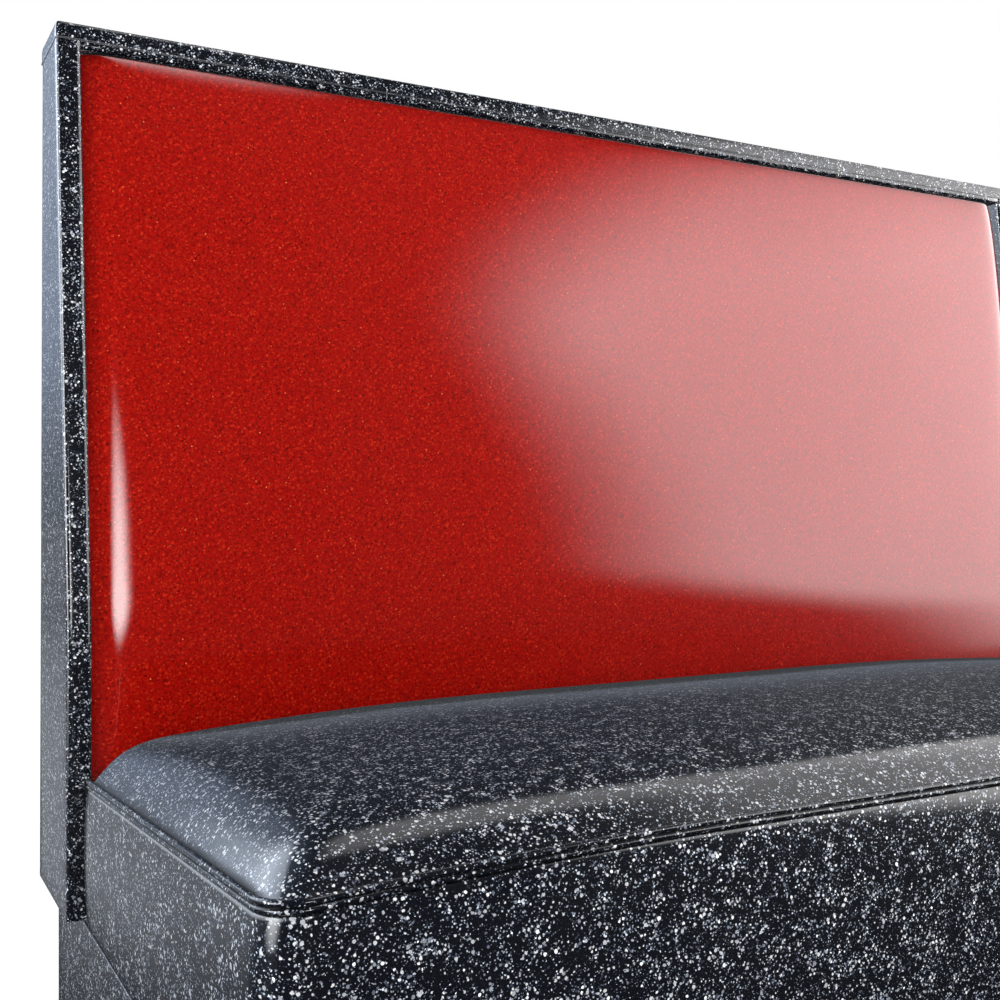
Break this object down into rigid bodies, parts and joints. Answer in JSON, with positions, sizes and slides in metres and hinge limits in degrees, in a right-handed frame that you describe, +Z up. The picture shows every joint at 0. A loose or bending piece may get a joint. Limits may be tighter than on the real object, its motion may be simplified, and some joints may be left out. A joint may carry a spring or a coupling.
{
  "type": "restaurant booth seating",
  "caption": "One-sided upholstered restaurant booth: recessed base, boxed lift-out seat with a welted crown, and a framed back with an inset crowned cushion.",
  "frame": {"origin": "on the floor under the middle of the bench, at the centre of its bounding box's underside", "axes": "+X along the bench, to the right as seen from the front, +Y from the seat's front to the back's rear, +Z up"},
  "size_m": [1.219, 0.634, 1.067],
  "materials": {
    "black_glitter_vinyl": "glossy black vinyl upholstery with dense silver glitter",
    "red_glitter_vinyl": "glossy red vinyl upholstery with fine glitter",
    "timber": "sawn softwood",
    "plywood": "raw plywood",
    "hardboard": "raw hardboard",
    "foam": "open cell upholstery foam",
    "felt": "needled felt pad",
    "dust_cloth": "thin black non-woven cloth",
    "spring_steel": "oiled spring steel",
    "zinc_steel": "zinc plated steel",
    "glide_plastic": "moulded black plastic on a steel nail"
  },
  "bodies": {
    "frame": {"base_left_end": "plywood", "base_right_end": "plywood", "base_kick_board": "plywood", "base_rear_board": "plywood", "base_centre_rib": "plywood", "base_deck": "plywood", "base_corner_blocks": "timber", "floor_glides": "glide_plastic", "base_left_cover": "black_glitter_vinyl", "base_right_cover": "black_glitter_vinyl", "base_front_cover": "black_glitter_vinyl", "base_rear_cover": "black_glitter_vinyl", "back_left_end": "plywood", "back_right_end": "plywood", "back_left_cover": "black_glitter_vinyl", "back_right_cover": "black_glitter_vinyl", "back_sole_plate": "timber", "back_top_rail": "timber", "back_lower_panel": "plywood", "back_upper_panel": "plywood", "back_left_lumbar_rail": "timber", "back_right_lumbar_rail": "timber", "back_centre_rib": "plywood", "back_rear_board": "hardboard", "back_rear_cover": "black_glitter_vinyl", "back_top_cap": "black_glitter_vinyl", "back_top_band": "black_glitter_vinyl", "back_foam": "foam", "back_cushion_cover": "red_glitter_vinyl", "back_bolts": "zinc_steel", "back_bolt_washers": "zinc_steel", "back_bolt_nuts": "zinc_steel", "locating_dowels": "timber"},
    "seat": {"seat_left_rail": "timber", "seat_right_rail": "timber", "seat_front_rail": "timber", "seat_rear_rail": "timber", "seat_centre_rail": "timber", "seat_corner_blocks": "timber", "seat_dust_cloth": "dust_cloth", "seat_springs": "spring_steel", "seat_spring_clips": "spring_steel", "seat_felt_pad": "felt", "seat_foam": "foam", "seat_top_cover": "black_glitter_vinyl", "seat_welt": "black_glitter_vinyl", "seat_left_boxing": "black_glitter_vinyl", "seat_right_boxing": "black_glitter_vinyl", "seat_front_boxing": "black_glitter_vinyl", "seat_rear_boxing": "black_glitter_vinyl"}
  },
  "joints": [
    {"name": "seat_lift", "type": "slide", "parent": "frame", "child": "seat", "axis": [0, 0, 1], "range_m": [0, 0.79]}
  ]
}
